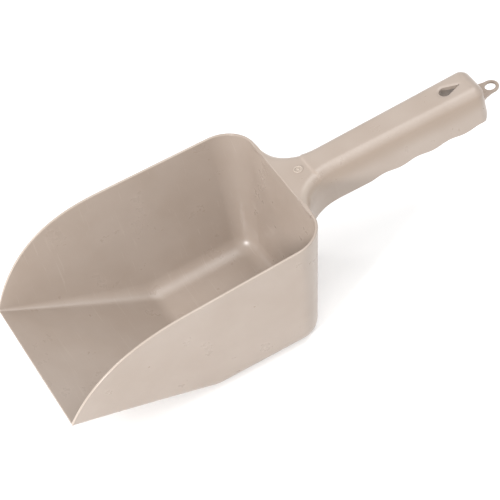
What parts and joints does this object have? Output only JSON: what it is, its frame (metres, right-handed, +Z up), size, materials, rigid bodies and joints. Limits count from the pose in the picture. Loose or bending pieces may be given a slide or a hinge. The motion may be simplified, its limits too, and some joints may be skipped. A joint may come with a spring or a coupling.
{
  "type": "ice scoop",
  "caption": "One-piece plastic scoop for ice or dry food: deep open bowl with a sloping pouring ramp, rounded rear, raised grip with finger waves, drop-shaped hole and end eyelet.",
  "frame": {"origin": "bottom centre of the whole object, on the surface that the floor of the bowl stands on", "axes": "X across the scoop (+X is the left of the person who holds the grip), +Y from the pouring lip to the hanging eyelet, +Z up"},
  "size_m": [0.1148, 0.3012, 0.0808],
  "materials": {
    "taupe_plastic": "satin moulded plastic, smooth, with faint wear scratches inside the bowl"
  },
  "bodies": {
    "root": {"pouring_ramp": "taupe_plastic", "rear_floor": "taupe_plastic", "ramp_curve_left": "taupe_plastic", "ramp_curve_right": "taupe_plastic", "floor_curve_left": "taupe_plastic", "floor_curve_right": "taupe_plastic", "side_wall_left": "taupe_plastic", "side_wall_right": "taupe_plastic", "rear_corner_left": "taupe_plastic", "rear_corner_right": "taupe_plastic", "rear_wall": "taupe_plastic", "rear_floor_curve": "taupe_plastic", "neck": "taupe_plastic", "grip_top": "taupe_plastic", "grip_side_left": "taupe_plastic", "grip_side_right": "taupe_plastic", "grip_end": "taupe_plastic", "hanging_eyelet": "taupe_plastic", "moulded_mark": "taupe_plastic"}
  },
  "joints": []
}
